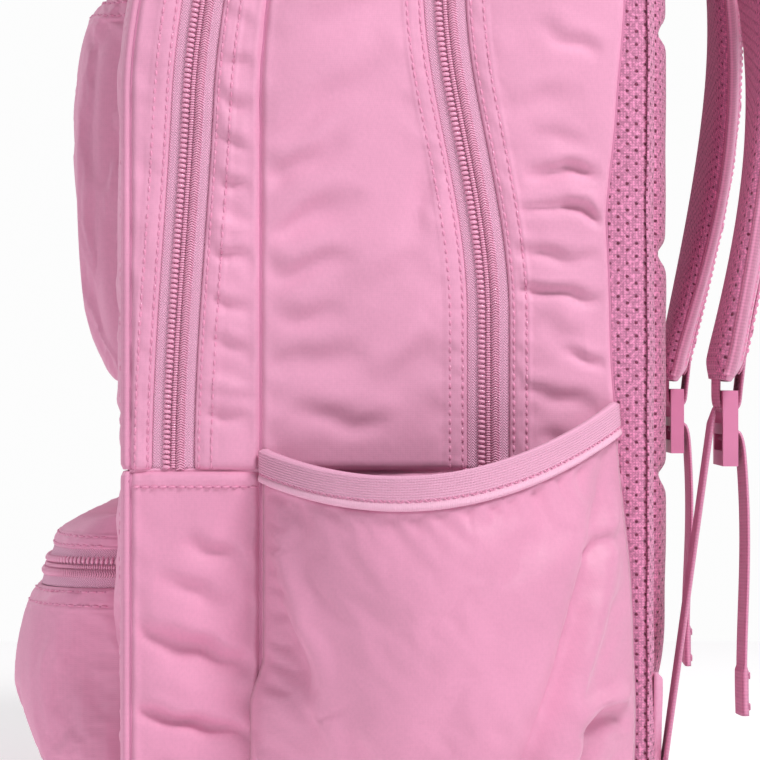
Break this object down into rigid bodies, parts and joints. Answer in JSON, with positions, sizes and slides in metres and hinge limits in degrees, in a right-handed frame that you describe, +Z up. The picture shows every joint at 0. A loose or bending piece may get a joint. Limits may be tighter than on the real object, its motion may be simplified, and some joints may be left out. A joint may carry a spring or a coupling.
{
  "type": "school backpack",
  "caption": "Soft school backpack with two zipped compartments, front and side pockets, mesh back, padded shoulder straps, grab handle and chest strap.",
  "frame": {"origin": "centre of the overall box, on the floor the bag stands on", "axes": "+Z up to the grab handle, +Y towards the wearer's back and the straps, +X to the wearer's right"},
  "size_m": [0.3982, 0.2686, 0.4635],
  "materials": {
    "shell_fabric": "fine plain weave with a soft sheen",
    "air_mesh": "perforated knitted mesh over foam",
    "zip_tape": "woven tape with a nylon coil",
    "elastic": "ribbed elastic binding",
    "webbing": "woven webbing",
    "plastic": "moulded, satin",
    "slider_metal": "die-cast, painted",
    "lining": "plain-weave lining",
    "board": "polyethylene sheet"
  },
  "bodies": {
    "bag": {"back_panel": "air_mesh", "back_pad_left": "air_mesh", "back_pad_right": "air_mesh", "back_board": "board", "base_gusset": "shell_fabric", "rear_gusset": "shell_fabric", "lower_gusset": "shell_fabric", "lower_front_panel": "shell_fabric", "lower_divider": "lining", "laptop_sleeve": "lining", "main_zip_rear_half": "zip_tape", "side_pocket_left": "shell_fabric", "side_pocket_right": "shell_fabric", "pocket_binding_left": "elastic", "pocket_binding_right": "elastic", "lower_pocket": "shell_fabric", "lower_pocket_flap": "shell_fabric", "lower_pocket_zip": "zip_tape", "strap_yoke": "shell_fabric", "strap_wing_left": "shell_fabric", "strap_wing_right": "shell_fabric"},
    "middle_leaf": {"main_gusset": "shell_fabric", "inner_gusset": "shell_fabric", "divider": "lining", "organiser_pocket": "lining", "main_zip_front_half": "zip_tape", "second_zip_rear_half": "zip_tape"},
    "front_leaf": {"front_gusset": "shell_fabric", "front_panel": "shell_fabric", "second_zip_front_half": "zip_tape", "upper_pocket": "shell_fabric", "upper_pocket_flap": "shell_fabric", "upper_pocket_zip": "zip_tape"},
    "main_zip_right_slider": {"main_zip_right_slider": "slider_metal"},
    "main_zip_right_pull": {"main_zip_right_pull": "plastic"},
    "main_zip_left_slider": {"main_zip_left_slider": "slider_metal"},
    "main_zip_left_pull": {"main_zip_left_pull": "plastic"},
    "second_zip_right_slider": {"second_zip_right_slider": "slider_metal"},
    "second_zip_right_pull": {"second_zip_right_pull": "plastic"},
    "second_zip_left_slider": {"second_zip_left_slider": "slider_metal"},
    "second_zip_left_pull": {"second_zip_left_pull": "plastic"},
    "lower_pocket_slider": {"lower_pocket_slider": "slider_metal"},
    "lower_pocket_pull": {"lower_pocket_pull": "plastic"},
    "upper_pocket_slider": {"upper_pocket_slider": "slider_metal"},
    "upper_pocket_pull": {"upper_pocket_pull": "plastic"},
    "handle": {"grab_handle": "webbing"},
    "strap_left": {"shoulder_strap_left": "air_mesh", "lower_webbing_left": "webbing"},
    "lock_left": {"ladder_lock_left": "plastic", "webbing_tail_left": "webbing"},
    "sternum_left": {"sternum_clip_left": "plastic", "sternum_webbing_left": "webbing", "buckle_socket": "plastic"},
    "strap_right": {"shoulder_strap_right": "air_mesh", "lower_webbing_right": "webbing"},
    "lock_right": {"ladder_lock_right": "plastic", "webbing_tail_right": "webbing"},
    "sternum_right": {"sternum_clip_right": "plastic", "sternum_webbing_right": "webbing"},
    "plug": {"buckle_plug": "plastic"}
  },
  "joints": [
    {"name": "main_zip_opening", "type": "hinge", "parent": "bag", "child": "middle_leaf", "pos_m": [0, -0.0948, 0.131], "axis": [1, 0, 0], "range_deg": [0, 22]},
    {"name": "second_zip_opening", "type": "hinge", "parent": "middle_leaf", "child": "front_leaf", "pos_m": [0, -0.0948, 0.131], "axis": [1, 0, 0], "range_deg": [0, 38]},
    {"name": "main_zip_right_slider_travel", "type": "hinge", "parent": "bag", "child": "main_zip_right_slider", "pos_m": [0, 0.0163, 0.205], "axis": [0, 1, 0], "range_deg": [0, 21]},
    {"name": "main_zip_right_pull_flip", "type": "hinge", "parent": "main_zip_right_slider", "child": "main_zip_right_pull", "pos_m": [0.01412, 0.0163, 0.42946], "axis": [0, 1, 0], "range_deg": [-100, 0]},
    {"name": "main_zip_left_slider_travel", "type": "hinge", "parent": "bag", "child": "main_zip_left_slider", "pos_m": [0, 0.0163, 0.205], "axis": [0, 1, 0], "range_deg": [-21, 0]},
    {"name": "main_zip_left_pull_flip", "type": "hinge", "parent": "main_zip_left_slider", "child": "main_zip_left_pull", "pos_m": [-0.01412, 0.0163, 0.42946], "axis": [0, 1, 0], "range_deg": [0, 100]},
    {"name": "second_zip_right_slider_travel", "type": "hinge", "parent": "middle_leaf", "child": "second_zip_right_slider", "pos_m": [0, -0.04922, 0.205], "axis": [0, 1, 0], "range_deg": [0, 21]},
    {"name": "second_zip_right_pull_flip", "type": "hinge", "parent": "second_zip_right_slider", "child": "second_zip_right_pull", "pos_m": [0.01412, -0.04922, 0.42946], "axis": [0, 1, 0], "range_deg": [-100, 0]},
    {"name": "second_zip_left_slider_travel", "type": "hinge", "parent": "middle_leaf", "child": "second_zip_left_slider", "pos_m": [0, -0.04922, 0.205], "axis": [0, 1, 0], "range_deg": [-21, 0]},
    {"name": "second_zip_left_pull_flip", "type": "hinge", "parent": "second_zip_left_slider", "child": "second_zip_left_pull", "pos_m": [-0.01412, -0.04922, 0.42946], "axis": [0, 1, 0], "range_deg": [0, 100]},
    {"name": "lower_pocket_slider_travel", "type": "slide", "parent": "bag", "child": "lower_pocket_slider", "axis": [1, 0, 0], "range_m": [0, 0.1756]},
    {"name": "lower_pocket_pull_swing", "type": "hinge", "parent": "lower_pocket_slider", "child": "lower_pocket_pull", "pos_m": [-0.08784, -0.13084, 0.10063], "axis": [1, 0, 0], "range_deg": [-100, 0]},
    {"name": "upper_pocket_slider_travel", "type": "slide", "parent": "front_leaf", "child": "upper_pocket_slider", "axis": [1, 0, 0], "range_m": [0, 0.1497]},
    {"name": "upper_pocket_pull_swing", "type": "hinge", "parent": "upper_pocket_slider", "child": "upper_pocket_pull", "pos_m": [-0.07488, -0.10998, 0.29661], "axis": [1, 0, 0], "range_deg": [-100, 0]},
    {"name": "grab_handle_tilt", "type": "hinge", "parent": "bag", "child": "handle", "pos_m": [0, 0.0475, 0.426], "axis": [1, 0, 0], "range_deg": [-35, 20], "stiffness_Nm_per_rad": 0.05},
    {"name": "shoulder_strap_left_swing", "type": "hinge", "parent": "bag", "child": "strap_left", "pos_m": [0, 0.0845, 0.392], "axis": [1, 0, 0], "range_deg": [0, 12], "deforming": ["lower_webbing_left"]},
    {"name": "ladder_lock_left_swing", "type": "hinge", "parent": "strap_left", "child": "lock_left", "pos_m": [-0.101, 0.1045, 0.1545], "axis": [1, 0, 0], "range_deg": [0, 25]},
    {"name": "sternum_left_height", "type": "slide", "parent": "strap_left", "child": "sternum_left", "axis": [0, 0, 1], "range_m": [-0.015, 0.015]},
    {"name": "shoulder_strap_right_swing", "type": "hinge", "parent": "bag", "child": "strap_right", "pos_m": [0, 0.0845, 0.392], "axis": [1, 0, 0], "range_deg": [0, 12], "deforming": ["lower_webbing_right"]},
    {"name": "ladder_lock_right_swing", "type": "hinge", "parent": "strap_right", "child": "lock_right", "pos_m": [0.101, 0.1045, 0.1545], "axis": [1, 0, 0], "range_deg": [0, 25]},
    {"name": "sternum_right_height", "type": "slide", "parent": "strap_right", "child": "sternum_right", "axis": [0, 0, 1], "range_m": [-0.015, 0.015]},
    {"name": "buckle_release", "type": "slide", "parent": "sternum_right", "child": "plug", "axis": [1, 0, 0], "range_m": [0, 0.02]}
  ],
  "couplings": [
    {"joint": "shoulder_strap_right_swing", "follows": "shoulder_strap_left_swing", "ratio": 1},
    {"joint": "sternum_right_height", "follows": "sternum_left_height", "ratio": 1}
  ]
}
